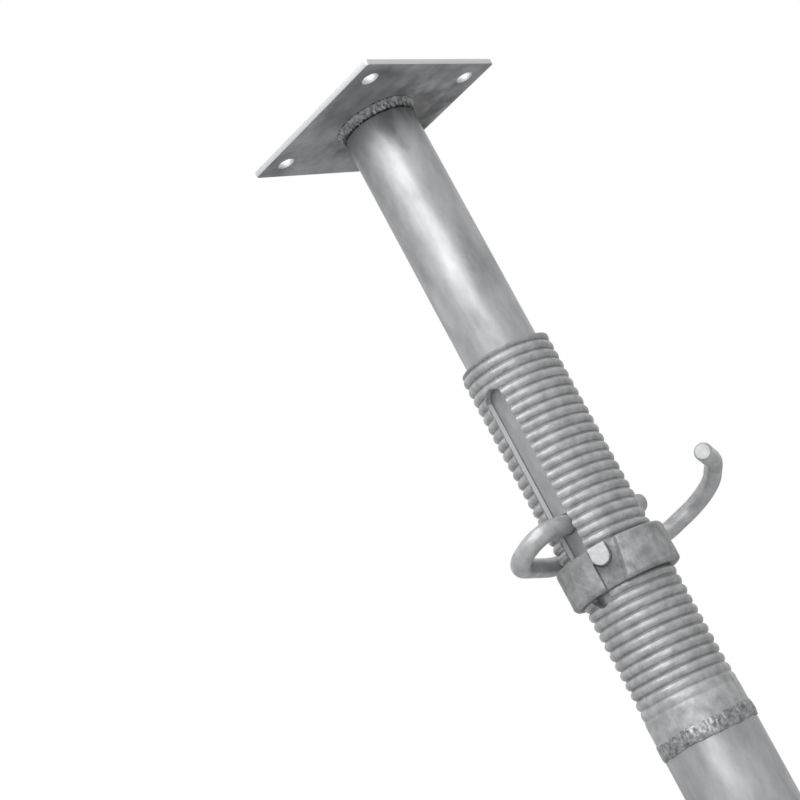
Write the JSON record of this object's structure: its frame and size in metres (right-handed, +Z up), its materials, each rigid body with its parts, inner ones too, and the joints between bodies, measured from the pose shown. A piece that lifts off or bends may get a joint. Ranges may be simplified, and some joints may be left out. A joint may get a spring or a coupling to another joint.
{
  "type": "telescopic prop",
  "caption": "Adjustable steel shoring prop: square end plates, sliding inner tube, threaded sleeve with slot, collar nut and hooked pin.",
  "frame": {"origin": "middle of the base plate's underside", "axes": "+Z up along the tubes towards the top plate, X along the pin and the slot, plate edges along X and Y"},
  "size_m": [0.1993, 0.12, 1.082],
  "materials": {
    "galvanised_plate": "hot-dip galvanised, dull mottled",
    "galvanised_tube": "hot-dip galvanised, bright with fine streaks",
    "galvanised_thread": "hot-dip galvanised rolled thread",
    "galvanised_bar": "hot-dip galvanised round bar",
    "cast_nut": "galvanised casting with a pitted skin",
    "weld_bead": "rough galvanised weld bead"
  },
  "bodies": {
    "outer": {"base_plate": "galvanised_plate", "base_weld": "weld_bead", "outer_tube": "galvanised_tube", "sleeve_weld": "weld_bead", "threaded_sleeve": "galvanised_thread"},
    "inner": {"inner_tube": "galvanised_tube", "guide_ring": "galvanised_tube", "top_weld": "weld_bead", "top_plate": "galvanised_plate"},
    "nut": {"collar_nut": "cast_nut"},
    "pin": {"g_pin": "galvanised_bar"}
  },
  "joints": [
    {"name": "extension", "type": "slide", "parent": "outer", "child": "inner", "axis": [0, 0, 1], "range_m": [-0.047, 0.086]},
    {"name": "nut_turn", "type": "hinge", "parent": "inner", "child": "nut", "pos_m": [0, 0, 0.753], "axis": [0, 0, 1], "range_deg": [-4765, 2605]},
    {"name": "pin_withdraw", "type": "slide", "parent": "inner", "child": "pin", "axis": [-1, 0, 0], "range_m": [0, 0.076]}
  ],
  "couplings": [
    {"joint": "nut_turn", "follows": "extension", "rad_per_m": -966.64}
  ]
}
